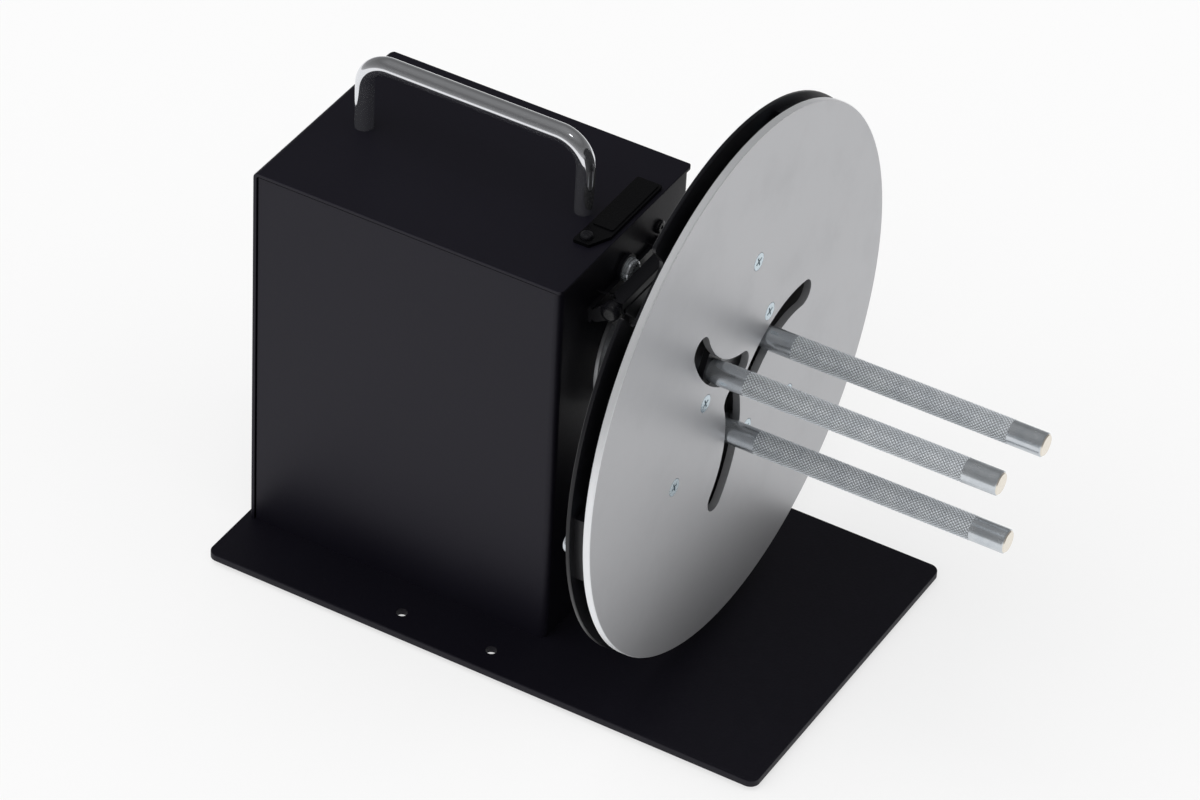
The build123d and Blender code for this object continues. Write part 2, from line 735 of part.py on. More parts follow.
knob_spot = at_axis(*polar(crank_radius, crank_angle))
crank_right = house_left - crank_clearance
crank_arm = plate(crank_outer, crank_inner, bar((0, 0), crank_hub, polar(crank_radius, crank_angle), crank_tip))
crank_arm = fillet(crank_arm.edges().group_by(Axis.X)[0], crank_edge)
crank_arm += rod_x(crank_inner, crank_right, crank_hub)
crank_arm -= rod_x(crank_outer - past, crank_right + past, shaft_radius + thread_gap) - flat_cut(thread_gap)
crank_arm -= bore_x(crank_outer, crank_inner, knob_thread, *knob_spot)
save("crank_arm", crank_arm)

crank_seat = crank_outer - crank_washer_thick
save("crank_washer", tube_x(crank_seat, crank_outer, crank_washer_radius, crank_bolt_radius + thread_gap))
bolt_head_left = crank_seat - crank_bolt_head_height
crank_bolt = rod_x(bolt_head_left, crank_seat, crank_bolt_head)
crank_bolt = fillet(crank_bolt.edges().group_by(Axis.X)[0], 0.7 * crank_bolt_head_height)
crank_bolt -= hex_x(bolt_head_left - past, bolt_head_left + crank_bolt_head_height / 2,
                    crank_bolt_radius, 0, axis_z)
crank_bolt += rod_x(crank_seat, shaft_left + crank_bolt_length, crank_bolt_radius)
save("crank_bolt", crank_bolt)

knob_bore = knob_pin_radius + run_gap
knob_floor = knob_left + knob_mouth_depth
knob_bulge = Spline((knob_right, knob_neck), (knob_right - 0.26 * knob_length, knob_rise),
                    (knob_right - 0.64 * knob_length, knob_belly), (knob_right - 0.89 * knob_length, knob_crown),
                    (knob_left, knob_end))
knob_outline = Polyline((knob_right, knob_bore), (knob_right, knob_neck)) + knob_bulge
knob_outline += Polyline((knob_left, knob_end), (knob_left, knob_mouth), (knob_floor, knob_mouth),
                         (knob_floor, knob_bore), (knob_right, knob_bore))
knob_face = make_face(Plane(origin=(0, 0, 0), x_dir=(1, 0, 0), z_dir=(0, -1, 0)) * knob_outline)
save("crank_knob", Pos(0, *knob_spot) * revolve(knob_face, Axis.X))

knob_stop = knob_floor - slide_gap
knob_bolt_left = knob_stop - knob_bolt_head_height
knob_bolt = rod_x(crank_outer, knob_stop, knob_pin_radius, *knob_spot)
knob_bolt += rod_x(knob_bolt_left, knob_stop, knob_bolt_head, *knob_spot)
knob_bolt += rod_x(crank_outer, crank_inner, knob_thread, *knob_spot)
knob_bolt -= hex_x(knob_bolt_left - past, knob_bolt_left + knob_bolt_head_height / 2, knob_socket, *knob_spot)
save("knob_bolt", knob_bolt)

# ---- hub, brake disc, front disc ----------------------------------------------
hub_left = brake_disc_right
hub_screw_spots = ring_spots(hub_screw_radius, hub_screw_angle)
brake_screw_spots = ring_spots(brake_screw_circle, brake_screw_angle)
disc_hub = rod_x(hub_left, hub_flange_left + past, hub_boss)
disc_hub += rod_x(hub_flange_left, rear_back - slide_gap, hub_flange)
disc_hub += rod_x(hub_flange_left, rear_front + hub_spigot_rise, hub_spigot)
disc_hub = chamfer(disc_hub.edges().filter_by(GeomType.CIRCLE).group_by(Axis.X)[-1], disc_edge)
disc_hub -= rod_x(hub_left - past, shaft_right + air, shaft_radius + thread_gap)
for spot in hub_screw_spots:
    disc_hub -= bore_x(hub_flange_left, rear_front, m4, *spot)
for spot in brake_screw_spots:
    disc_hub -= bore_x(hub_left, hub_left + brake_screw_length, m3, *spot)
for x in (hub_left + hub_grub_pitch, hub_left + 2 * hub_grub_pitch):
    disc_hub -= grub_hole(x, hub_boss)
    grubs.append(grub_screw(x, hub_boss))
save("disc_hub", disc_hub)
save("set_screws", *grubs)

brake_disc = tube_x(brake_disc_left, brake_disc_right, brake_disc_radius, shaft_radius + thread_gap)
brake_disc = chamfer(brake_disc.edges().filter_by(GeomType.CIRCLE).sort_by(SortBy.RADIUS)[-2:], disc_edge)
brake_disc_screws = []
for spot in brake_screw_spots:
    brake_disc -= bore_x(brake_disc_left, brake_disc_right, m3, *spot)
    head = rod_x(brake_disc_left - brake_screw_head_height, brake_disc_left, brake_screw_head, *spot)
    head = fillet(head.edges().group_by(Axis.X)[0], brake_screw_head_height / 2)
    brake_disc_screws.append(head + rod_x(brake_disc_left, hub_left + brake_screw_length, m3, *spot))
save("brake_disc", brake_disc)
save("brake_disc_screws", *brake_disc_screws)


def pivot_spot(index):
    return polar(pivot_circle, pivot_angle + 120.0 * index)


def arm_direction(index, swing):
    return pivot_angle + 120.0 * index + 180.0 - swing


def arm_spot(index, swing, reach, bend=0.0):
    """Point fixed to an arm at the given swing, seen along the spindle."""
    pivot_y, pivot_z = pivot_spot(index)
    step_y, step_z = polar(reach, arm_direction(index, swing) + bend)
    return pivot_y + step_y, pivot_z + step_z


front_disc = rod_x(front_back, front_face, disc_radius)
front_disc = chamfer(front_disc.edges().filter_by(GeomType.CIRCLE), disc_edge)
for k in range(3):
    arc = CenterArc(pivot_spot(k), arm_reach, arm_direction(k, slot_closed), slot_closed - slot_open)
    front_disc -= plate(front_back - past, front_face + past, SlotArc(arc, 2 * slot_half))
    front_disc -= csk_hole_x(front_face, front_back, *at_axis(*pivot_spot(k)))
for spot in hub_screw_spots:
    front_disc -= csk_hole_x(front_face, front_back, *spot)
save("front_disc", front_disc)

standoff_left = rear_front + hub_spigot_rise
save("hub_standoffs", *[tube_x(standoff_left, front_back, standoff_radius, m4 + thread_gap, *spot)
                        for spot in hub_screw_spots])
save("hub_screws", *[csk_screw_x(front_face, hub_flange_left + air, *spot) for spot in hub_screw_spots])

# ---- swing arms, core pins and cam followers -----------------------------------
sleeve_left = arm_back - slide_gap
sleeve_back = sleeve_left - sleeve_flange_thick
sleeves = []
spacers = []
pivot_screws = []
for k in range(3):
    spot = at_axis(*pivot_spot(k))
    sleeve = rod_x(sleeve_left, front_back, sleeve_radius, *spot)
    sleeve += rod_x(sleeve_back, sleeve_left, sleeve_flange, *spot)
    sleeves.append(sleeve - bore_x(sleeve_back, front_back, m4, *spot))
    spacers.append(tube_x(arm_front + slide_gap, front_back, spacer_radius, sleeve_radius + thread_gap, *spot))
    pivot_screws.append(csk_screw_x(front_face, sleeve_back, *spot))
save("pivot_sleeves", *sleeves)
save("pivot_spacers", *spacers)
save("pivot_screws", *pivot_screws)

neck_end = front_face + pin_step
for k in range(3):
    pivot = pivot_spot(k)
    tip = arm_spot(k, arm_rest, arm_reach)
    tail = arm_spot(k, arm_rest, tail_reach, tail_bend)
    outline = bar(pivot, arm_pivot, tip, arm_tip) + bar(pivot, arm_pivot, tail, arm_tail)
    arm = plate(arm_back, arm_front, outline)
    arm -= rod_x(arm_back - past, arm_front + past, sleeve_radius + run_gap, *at_axis(*pivot))
    arm -= bore_x(arm_back, arm_front, pin_shank, *at_axis(*tip))
    arm -= bore_x(arm_back, arm_front, follower_shank, *at_axis(*tail))
    save("swing_arm_%d" % (k + 1), arm)
    pin = rod_x(neck_end, pin_end, pin_radius, *at_axis(*tip))
    pin = chamfer(pin.edges().sort_by(Axis.X)[-1], pin_chamfer)
    pin += rod_x(arm_front, neck_end, pin_neck, *at_axis(*tip))
    pin += rod_x(arm_back, arm_front, pin_shank, *at_axis(*tip))
    save("core_pin_%d" % (k + 1), pin)
    follower = rod_x(rear_back + follower_rise, arm_back, follower_radius, *at_axis(*tail))
    follower += rod_x(arm_back, arm_front, follower_shank, *at_axis(*tail))
    save("cam_follower_%d" % (k + 1), follower)


# ---- rear disc: turned by hand against the front disc ---------------------------
cam_steps = 24
cam_margin = 0.6                                 # degrees of slot past each end of the travel


def cam_point(index, swing):
    """Place of a follower seen from the rear disc, which turns as far as the arms swing."""
    y, z = arm_spot(index, swing, tail_reach, tail_bend)
    return polar(hypot(y, z), degrees(atan2(z, y)) + (swing - arm_rest))


def cam_slot(index):
    half = follower_radius + slide_gap
    first = arm_closed - cam_margin
    last = arm_open + cam_margin
    middle = [cam_point(index, first + (last - first) * i / cam_steps) for i in range(cam_steps + 1)]
    left = []
    right = []
    for i, (y, z) in enumerate(middle):
        before = middle[max(i - 1, 0)]
        after = middle[min(i + 1, cam_steps)]
        along = hypot(after[0] - before[0], after[1] - before[1])
        normal_y = -(after[1] - before[1]) / along
        normal_z = (after[0] - before[0]) / along
        left.append((y + half * normal_y, z + half * normal_z))
        right.append((y - half * normal_y, z - half * normal_z))
    sides = Spline(*left) + Line(left[-1], right[-1]) + Spline(*reversed(right)) + Line(right[0], left[0])
    return make_face(sides) + Pos(*middle[0]) * Circle(half) + Pos(*middle[-1]) * Circle(half)


rear_disc = tube_x(rear_back, rear_front, rear_radius, hub_spigot + run_gap)
rear_disc = chamfer(rear_disc.edges().filter_by(GeomType.CIRCLE).sort_by(SortBy.RADIUS)[-2:], disc_edge)
for k in range(3):
    rear_disc -= plate(rear_back - past, rear_front + past, cam_slot(k))
notch_cut = notch_depth + rim_overhang + block_width
notch = Pos(disc_radius - notch_depth + notch_cut / 2, 0) * Rectangle(notch_cut, 2 * notch_half_width)
notch = fillet(notch.vertices().group_by(Axis.X)[0], notch_round)
rear_disc -= plate(rear_back - past, rear_front + past, Rot(0, 0, notch_middle) * notch)
lip_edges = rear_disc.edges().filter_by(Axis.X).filter_by(
    lambda e: hypot(e.center().Y, e.center().Z - axis_z) > disc_radius - notch_depth / 4)
rear_disc = fillet(lip_edges, notch_lip)
block_angles = around(block_angle)
for angle in block_angles:
    rear_disc -= bore_x(rear_back, rear_front, m4, *at_axis(*polar(block_screw_radius, angle)))
save("rear_disc", rear_disc)


def rim_sector(x0, x1, angle):
    ring = tube_x(x0, x1, block_outer, block_inner)
    corners = [(0, 0), polar(2 * block_outer, -block_half_angle), polar(2 * block_outer, block_half_angle)]
    wedge = Rot(0, 0, angle) * make_face(Polyline(*corners, close=True))
    return ring & plate(x0 - past, x1 + past, wedge)


glide_right = front_back - slide_gap
glide_left = glide_right - glide_thick
blocks = []
glides = []
block_screws = []
for angle in block_angles:
    spot = at_axis(*polar(block_screw_radius, angle))
    blocks.append(rim_sector(rear_front, glide_left, angle) - bore_x(rear_front, glide_left, m4, *spot))
    glides.append(rim_sector(glide_left, glide_right, angle))
    head = rod_x(rear_back - block_head_height, rear_back, block_screw_head, *spot)
    head = fillet(head.edges().group_by(Axis.X)[0], block_head_edge)
    block_screws.append(head + rod_x(rear_back, glide_left - block_screw_short, m4, *spot))
save("rim_blocks", *blocks)
save("glide_pads", *glides)
save("block_screws", *block_screws)

# ---- brake lever ----------------------------------------------------------------
pin_z = axis_z + brake_pin_z
lever_z = axis_z + lever_top
lip_bottom = lever_z - lever_lip
pad_left = brake_disc_right + pad_gap
web_back = pad_left + pad_thick
web_front = web_back + lever_sheet
lever_front = brake_disc_left + lever_reach
lever_back = lever_front - lever_depth
spring_mean = brake_pin_radius + spring_play + spring_wire
spring_outer = spring_mean + spring_wire
web_top = pin_z - spring_outer - spring_room
cheek_bottom = lever_z - cheek_drop
pad_top = axis_z + brake_disc_radius - pad_below_rim
pad_bottom = pad_top - pad_height_z
clamp_spots = [(side * clamp_screw_y, pad_bottom + clamp_screw_rise) for side in (-1, 1)]

brake_lever = box(lever_back, lever_front, -brake_half_width, brake_half_width, lever_z - lever_sheet, lever_z)
brake_lever += box(lever_front - lever_sheet, lever_front, -brake_half_width, brake_half_width,
                   lip_bottom, lever_z)
lever_fold = brake_lever.edges().filter_by(Axis.Y).group_by(Axis.Z)[-1].group_by(Axis.X)[-1]
brake_lever = fillet(lever_fold, lever_bend)
brake_lever = chamfer(brake_lever.edges().filter_by(Axis.Z).group_by(Axis.X)[0], lever_corner)
for side in (-1, 1):
    brake_lever += box(web_back, lever_front, side * (brake_half_width - lever_sheet), side * brake_half_width,
                       cheek_bottom, lever_z)
tongue = box(web_back, web_front, -tongue_half, tongue_half, pad_bottom - past, cheek_bottom + past)
brake_lever += fillet(tongue.edges().filter_by(Axis.X).group_by(Axis.Z)[0], tongue_corner)
brake_lever += box(web_back, web_front, -brake_half_width, brake_half_width, cheek_bottom, web_top)
brake_lever -= rod_y(-ear_inner, ear_inner, brake_pin_radius + run_gap, brake_pin_x, pin_z)
for spot in clamp_spots:
    brake_lever -= bore_x(web_back, web_front, m2, *spot)
save("brake_lever", brake_lever)

# torsion springs on the pivot pin press the pad against the brake disc
spring_reach = brake_pin_x - wall_right - air
coils = Helix(spring_pitch, spring_pitch * spring_turns, spring_mean)
wire = Wire([Edge.make_line(coils @ 0 - (coils % 0) * spring_leg, coils @ 0), coils.edge(),
             Edge.make_line(coils @ 1, coils @ 1 + (coils % 1) * spring_reach)])
spring = sweep(Plane(origin=wire @ 0, z_dir=wire % 0) * Circle(spring_wire), path=wire)
save("brake_springs", *[Pos(brake_pin_x, y, pin_z) * Rot(90, 0, 0) * spring for y in spring_ys])

clamp_half = tongue_half + clamp_margin
clamp_top = lip_bottom - clamp_groove - axis_z
clamp_shoulder = clamp_top - clamp_shoulder_drop
clamp_tip = pad_bottom - axis_z
clamp_knee = clamp_tip + clamp_knee_rise
half_outline = [(clamp_half, clamp_top), (clamp_half, clamp_shoulder), (clamp_tip_half, clamp_knee),
                (clamp_tip_half, clamp_tip)]
mirrored = [(-y, z) for y, z in reversed(half_outline)]
clamp = plate(web_front, lever_front, make_face(Polyline(*half_outline, *mirrored, close=True)))
clamp = fillet(clamp.edges().filter_by(Axis.X).group_by(Axis.Z)[0], clamp_corner)
clamp = chamfer(clamp.faces().sort_by(Axis.X)[-1].edges(), clamp_edge)
spring_front = brake_pin_x + spring_outer + spring_room
clamp -= box(web_front - past, spring_front, -brake_half_width, brake_half_width, web_top, pin_z + past)
for y in spring_ys:
    clamp -= box(brake_pin_x, spring_front, y - spring_wire - spring_room, y + spring_pitch,
                 pin_z - spring_leg - spring_room, web_top + past)
for spot in clamp_spots:
    clamp -= bore_x(web_front, lever_front, m2, *spot)
save("brake_clamp_plate", clamp)
save("brake_clamp_screws", *[button_screw_x(lever_front, web_back + air, *spot, m2, clamp_screw_head,
                                            clamp_screw_head_height) for spot in clamp_spots])

brake_pad = box(pad_left, web_back, -pad_half_width, pad_half_width, pad_bottom, pad_top)
save("brake_pad", brake_pad & rod_x(pad_left, web_back, brake_disc_radius - pad_rim_inset))

brake_pin = rod_y(-ear_outer, ear_outer + pin_tail, brake_pin_radius, brake_pin_x, pin_z)
pin_head = rod_y(-ear_outer - brake_dome_length, -ear_outer, brake_dome_radius, brake_pin_x, pin_z)
brake_pin += fillet(pin_head.edges().group_by(Axis.Y)[0], 0.8 * brake_dome_length)
save("brake_pivot_pin", brake_pin)
clip_near = ear_outer + clip_gap
clip = rod_y(clip_near, clip_near + clip_thick, clip_radius, brake_pin_x, pin_z)
clip -= rod_y(ear_outer, clip_near + clip_thick + past, brake_pin_radius + thread_gap, brake_pin_x, pin_z)
clip -= box(brake_pin_x - past, brake_pin_x + past, ear_outer, clip_near + clip_thick + past,
            pin_z - clip_radius - past, pin_z)
save("brake_pin_clip", clip)
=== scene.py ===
import json
from math import cos, pi, sin

import bpy
from mathutils import Matrix, Vector


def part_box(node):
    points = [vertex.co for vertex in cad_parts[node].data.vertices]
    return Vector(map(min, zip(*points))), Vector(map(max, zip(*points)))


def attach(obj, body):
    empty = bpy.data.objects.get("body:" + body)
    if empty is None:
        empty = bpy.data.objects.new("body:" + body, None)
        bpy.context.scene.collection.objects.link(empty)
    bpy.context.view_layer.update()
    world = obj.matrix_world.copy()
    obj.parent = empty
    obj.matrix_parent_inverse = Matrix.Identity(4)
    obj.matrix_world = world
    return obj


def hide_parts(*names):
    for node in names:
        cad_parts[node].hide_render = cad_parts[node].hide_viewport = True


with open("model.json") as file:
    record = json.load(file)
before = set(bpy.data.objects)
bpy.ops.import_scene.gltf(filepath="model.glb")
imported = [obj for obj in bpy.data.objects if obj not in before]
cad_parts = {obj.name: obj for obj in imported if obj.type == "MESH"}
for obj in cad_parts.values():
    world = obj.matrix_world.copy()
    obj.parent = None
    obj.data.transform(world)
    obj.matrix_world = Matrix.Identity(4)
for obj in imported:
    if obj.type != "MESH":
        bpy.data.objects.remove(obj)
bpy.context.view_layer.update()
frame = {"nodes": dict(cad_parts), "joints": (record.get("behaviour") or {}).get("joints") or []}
nodes = frame["nodes"]
print("frame loaded:", len(nodes), "nodes")

mm = 0.001
axisZ = frame["joints"][0]["pos_m"][2]  # height of the spindle above the bench


def low(node):
    return Vector(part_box(node)[0])


def high(node):
    return Vector(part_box(node)[1])


discFace = high("front_disc").x


# node trees

class Sock:
    def __init__(self, graph, socket):
        self.graph, self.socket = graph, socket

    def _math(self, operation, *args):
        return self.graph.node("ShaderNodeMath", {"operation": operation}, *args)

    def __add__(self, other):
        return self._math("ADD", self, other)

    def __sub__(self, other):
        return self._math("SUBTRACT", self, other)

    def __rsub__(self, other):
        return self._math("SUBTRACT", other, self)

    def __mul__(self, other):
        return self._math("MULTIPLY", self, other)

    def __pow__(self, other):
        return self._math("POWER", self, other)


class Net:
    def __init__(self, tree):
        self.tree = tree

    def node(self, kind, settings=None, *args, out=0, **named):
        made = self.tree.nodes.new(kind)
        for key, value in (settings or {}).items():
            if key == "stops":
                self._stops(made, value)
            else:
                setattr(made, key, value)
        for key, value in list(enumerate(args)) + list(named.items()):
            target = made.inputs[key.replace("_", " ") if isinstance(key, str) else key]
            if isinstance(value, Sock):
                self.tree.links.new(value.socket, target)
            elif value is not None:
                target.default_value = value
        return Sock(self, made.outputs[out])

    def split(self, vector):
        made = self.tree.nodes.new("ShaderNodeSeparateXYZ")
        self.tree.links.new(vector.socket, made.inputs[0])
        return [Sock(self, made.outputs[i]) for i in range(3)]

    def join(self, x, y, z):
        return self.node("ShaderNodeCombineXYZ", None, x, y, z)

    def _stops(self, made, stops):
        ramp = made.color_ramp
        while len(ramp.elements) < len(stops):
            ramp.elements.new(0.5)
        for element, (at, value) in zip(ramp.elements, stops):
            element.position = at
            element.color = value if hasattr(value, "__len__") else (value, value, value, 1)


class Graph(Net):
    def __init__(self, name):
        self.material = bpy.data.materials.new(name)
        self.material.use_nodes = True
        super().__init__(self.material.node_tree)
        self.tree.nodes.clear()
        self.output = self.tree.nodes.new("ShaderNodeOutputMaterial")
        self.shader = self.tree.nodes.new("ShaderNodeBsdfPrincipled")
        self.tree.links.new(self.shader.outputs[0], self.output.inputs["Surface"])

    def objectPoint(self, stretch=(1, 1, 1), centre=(0, 0, 0)):
        point = self.node("ShaderNodeTexCoord", out=3)
        return self.node("ShaderNodeMapping", {"vector_type": "POINT"}, point,
                         Location=tuple(-c * s for c, s in zip(centre, stretch)), Scale=stretch)

    def noise(self, point, scale, detail=3.0, rough=0.5):
        return self.node("ShaderNodeTexNoise", {"noise_dimensions": "3D"}, Vector=point,
                         Scale=scale, Detail=detail, Roughness=rough)

    def ramp(self, value, stops):
        return self.node("ShaderNodeValToRGB", {"stops": stops}, value)

    def mixColour(self, factor, a, b):
        made = self.tree.nodes.new("ShaderNodeMix")
        made.data_type = "RGBA"
        for key, value in ((0, factor), (6, a), (7, b)):
            if isinstance(value, Sock):
                self.tree.links.new(value.socket, made.inputs[key])
            elif key == 0:
                made.inputs[key].default_value = value
            else:
                made.inputs[key].default_value = (*value, 1)
        return Sock(self, made.outputs[2])

    def bump(self, height, strength, distance):
        self.into("Normal", self.node("ShaderNodeBump", None, Strength=strength,
                                      Distance=distance, Height=height))

    def into(self, name, value):
        target = self.shader.inputs[name]
        if isinstance(value, Sock):
            self.tree.links.new(value.socket, target)
        elif hasattr(value, "__len__"):
            target.default_value = (*value, 1) if len(value) == 3 else value
        else:
            target.default_value = value
        return self


class Recipe(Net):
    def __init__(self, name, inputs):
        super().__init__(bpy.data.node_groups.new(name, "GeometryNodeTree"))
        face = self.tree.interface
        self.keys = {label: face.new_socket(label, in_out="INPUT", socket_type=kind).identifier
                     for label, kind in inputs.items()}
        face.new_socket("Geometry", in_out="OUTPUT", socket_type="NodeSocketGeometry")
        self.entry = self.tree.nodes.new("NodeGroupInput")
        self.exit = self.tree.nodes.new("NodeGroupOutput")

    def given(self, label):
        return Sock(self, self.entry.outputs[label])

    def ends(self, geometry):
        real = self.node("GeometryNodeRealizeInstances", None, geometry)
        done = self.node("GeometryNodeSetMaterial", None, Geometry=real, Material=self.given("Material"))
        self.tree.links.new(done.socket, self.exit.inputs[0])

    def mesh(self, name, values):
        holder = bpy.data.objects.new(name, bpy.data.meshes.new(name))
        bpy.context.scene.collection.objects.link(holder)
        step = holder.modifiers.new("recipe", "NODES")
        step.node_group = self.tree
        for label, value in values.items():
            step[self.keys[label]] = value
        seen = holder.evaluated_get(bpy.context.evaluated_depsgraph_get())
        made = bpy.data.meshes.new_from_object(seen)
        bpy.data.objects.remove(holder)
        return made


def radiusFrom(graph, centre):
    y, z = graph.split(graph.objectPoint())[1:]
    y, z = y - centre.y, z - centre.z
    return (y * y + z * z) ** 0.5


# finishes

powderCoat = {"colour": (0.0052, 0.0047, 0.0084), "pale": (0.0078, 0.0072, 0.0118), "rough": 0.44,
              "grainSize": 1.1, "shine": 0.27, "sheen": (0.90, 0.87, 1.0)}


def powderMaterial(name, tone=1.0, roughShift=0.0, grain=1.0, shine=1.0):
    g = Graph(name)
    p = g.objectPoint()
    broad = g.noise(p, 18.0, 4.0)
    fine = g.noise(p, 1000.0 / powderCoat["grainSize"], 2.0, 0.6)
    peel = g.noise(p, 210.0, 2.0)
    dust = g.ramp(g.noise(p, 900.0, 1.0, 0.7), [(0.66, 0.0), (0.80, 1.0)])
    colour = g.mixColour(broad, tuple(c * tone for c in powderCoat["colour"]),
                         tuple(c * tone for c in powderCoat["pale"]))
    colour = g.mixColour(dust * 0.04, colour, (0.05, 0.05, 0.06))
    g.into("Base Color", colour)
    g.into("Roughness", broad * 0.08 + fine * 0.10 + (powderCoat["rough"] + roughShift - 0.09))
    g.into("Specular IOR Level", powderCoat["shine"] * shine)
    g.into("Specular Tint", powderCoat["sheen"])
    g.bump(fine * 0.6 * grain + peel * 0.4, 0.35, 0.00012 * grain)
    return g.material


# one colour here is painted shade, laid into the bottoms of the knurl
zincPlate = {"colour": (0.70, 0.73, 0.76), "shade": (0.56, 0.60, 0.64), "rough": 0.27, "metal": 0.82,
             "wornMetal": 0.22, "knurlShadeColour": (0.28, 0.29, 0.30), "cutEnd": (0.86, 0.80, 0.70),
             "endDepth": 1.0 * mm, "drawn": (0.06, 1, 1)}


def zincMaterial(name, stretch=(1, 1, 1), tone=1.0, roughShift=0.0, blue=0.0, paintKnurlShade=False, endsFrom=None):
    g = Graph(name)
    lines = g.noise(g.objectPoint(stretch), 2600.0, 3.0, 0.6)
    clouds = g.noise(g.objectPoint(), 160.0, 4.0, 0.6)
    tint = (1 - blue, 1, 1 + 0.3 * blue)
    light = tuple(c * tone * k for c, k in zip(zincPlate["colour"], tint))
    dark = tuple(c * tone * k for c, k in zip(zincPlate["shade"], tint))
    colour = g.mixColour(g.ramp(clouds, [(0.3, 0.0), (0.72, 1.0)]), dark, light)
    if paintKnurlShade:  # painted shade: the bottoms of the knurl are darkened, its points keep the zinc colour
        peak = g.node("ShaderNodeAttribute", {"attribute_name": "peak"}, out="Fac")
        colour = g.mixColour(g.ramp(peak, [(0.05, 0.0), (0.55, 1.0)]), zincPlate["knurlShadeColour"], colour)
    if endsFrom is not None:  # the cut ends are faced and keep a yellow tint
        past = (g.split(g.objectPoint())[0] - endsFrom) * 1000.0
        colour = g.mixColour(g.ramp(past, [(0.5, 0.0), (0.7, 1.0)]), colour, zincPlate["cutEnd"])
    g.into("Base Color", colour)
    g.into("Metallic", zincPlate["wornMetal"] if paintKnurlShade else zincPlate["metal"])
    g.into("Roughness", clouds * 0.16 + lines * 0.10 + (zincPlate["rough"] + roughShift - 0.12))
    g.bump(lines, 0.25, 0.00002)
    return g.material


# the near-white rim colour is a painted highlight along the disc's edge
anodised = {"colour": (0.550, 0.553, 0.570), "shade": (0.512, 0.516, 0.532), "rough": 0.43, "metal": 0.72,
            "smudge": (0.36, 0.365, 0.38), "rim": (0.86, 0.87, 0.89), "rimFrom": 109.0 * mm}


def discMaterial(name, centre):
    g = Graph(name)
    radius = radiusFrom(g, centre)
    rings = g.noise(g.join(radius, 0.0, 0.0), 3600.0, 2.0, 0.7)
    fine = g.noise(g.objectPoint(), 2300.0, 2.0, 0.7)
    broad = g.noise(g.objectPoint(), 14.0, 4.0, 0.6)
    smudge = g.ramp(g.noise(g.objectPoint(), 42.0, 5.0, 0.65), [(0.50, 0.0), (0.78, 1.0)])
    colour = g.mixColour(broad, anodised["shade"], anodised["colour"])
    colour = g.mixColour(smudge * 0.10, colour, anodised["smudge"])
    # painted highlight: from about 109.6 mm out, a thin band at the disc's edge takes a near-white colour
    rim = g.ramp((radius - anodised["rimFrom"]) * 1000.0, [(0.6, 0.0), (0.8, 1.0)])
    g.into("Base Color", g.mixColour(rim, colour, anodised["rim"]))
    g.into("Metallic", anodised["metal"])
    g.into("Roughness", fine * 0.08 + smudge * 0.05 + (anodised["rough"] - 0.04))
    g.bump(rings * 0.35 + fine * 0.65, 0.22, 0.00003)
    return g.material


def chromeMaterial(name):
    g = Graph(name)
    smear = g.noise(g.objectPoint(), 60.0, 4.0, 0.6)
    hair = g.noise(g.objectPoint((0.05, 1, 1)), 1800.0, 2.0)
    g.into("Base Color", g.mixColour(smear, (0.72, 0.73, 0.76), (0.80, 0.81, 0.84)))
    g.into("Metallic", 0.95)
    g.into("Roughness", smear * 0.05 + hair * 0.03 + 0.03)
    g.bump(smear, 0.06, 0.00005)
    return g.material


def steelMaterial(name, colour=(0.50, 0.51, 0.525), rough=0.30):
    g = Graph(name)
    lines = g.noise(g.objectPoint((1, 0.1, 0.1)), 3000.0, 3.0, 0.6)
    stain = g.noise(g.objectPoint(), 70.0, 5.0, 0.6)
    g.into("Base Color", g.mixColour(g.ramp(stain, [(0.35, 0.0), (0.75, 1.0)]),
                                     tuple(c * 0.72 for c in colour), colour))
    g.into("Metallic", 1.0)
    g.into("Roughness", stain * 0.14 + lines * 0.12 + (rough - 0.12))
    g.bump(lines, 0.3, 0.00002)
    return g.material


def blackMetalMaterial(name, colour=(0.006, 0.006, 0.008), rough=0.36):
    g = Graph(name)
    p = g.objectPoint()
    fine = g.noise(p, 1500.0, 2.0, 0.6)
    wear = g.ramp(g.noise(p, 130.0, 5.0, 0.7), [(0.62, 0.0), (0.86, 1.0)])
    g.into("Base Color", g.mixColour(wear * 0.12, colour, (0.04, 0.04, 0.045)))
    g.into("Roughness", fine * 0.14 + wear * 0.06 + (rough - 0.07))
    g.into("Specular IOR Level", 0.35)
    g.bump(fine, 0.25, 0.00004)
    return g.material


def plasticMaterial(name, colour, rough, grain=900.0, depth=0.00004, shine=0.5):
    g = Graph(name)
    p = g.objectPoint()
    fine = g.noise(p, grain, 2.0, 0.6)
    broad = g.noise(p, 40.0, 3.0)
    g.into("Base Color", g.mixColour(broad, tuple(c * 0.82 for c in colour), colour))
    g.into("Roughness", fine * 0.12 + broad * 0.06 + (rough - 0.09))
    g.into("Specular IOR Level", shine)
    g.bump(fine, 0.35, depth)
    return g.material


def ironMaterial(name):
    g = Graph(name)
    p = g.objectPoint()
    pits = g.noise(p, 420.0, 5.0, 0.7)
    broad = g.noise(p, 55.0, 4.0)
    g.into("Base Color", g.mixColour(broad, (0.035, 0.036, 0.038), (0.06, 0.061, 0.064)))
    g.into("Roughness", pits * 0.20 + 0.46)
    g.bump(pits, 0.6, 0.00025)
    return g.material


def frictionMaterial(name):
    g = Graph(name)
    p = g.objectPoint()
    flecks = g.ramp(g.noise(p, 1400.0, 3.0, 0.7), [(0.55, 0.0), (0.70, 1.0)])
    fibres = g.noise(g.objectPoint((1, 0.2, 1)), 1100.0, 4.0, 0.7)
    g.into("Base Color", g.mixColour(flecks, (0.10, 0.075, 0.055), (0.26, 0.20, 0.13)))
    g.into("Roughness", fibres * 0.2 + 0.68)
    g.bump(fibres, 0.6, 0.0002)
    return g.material


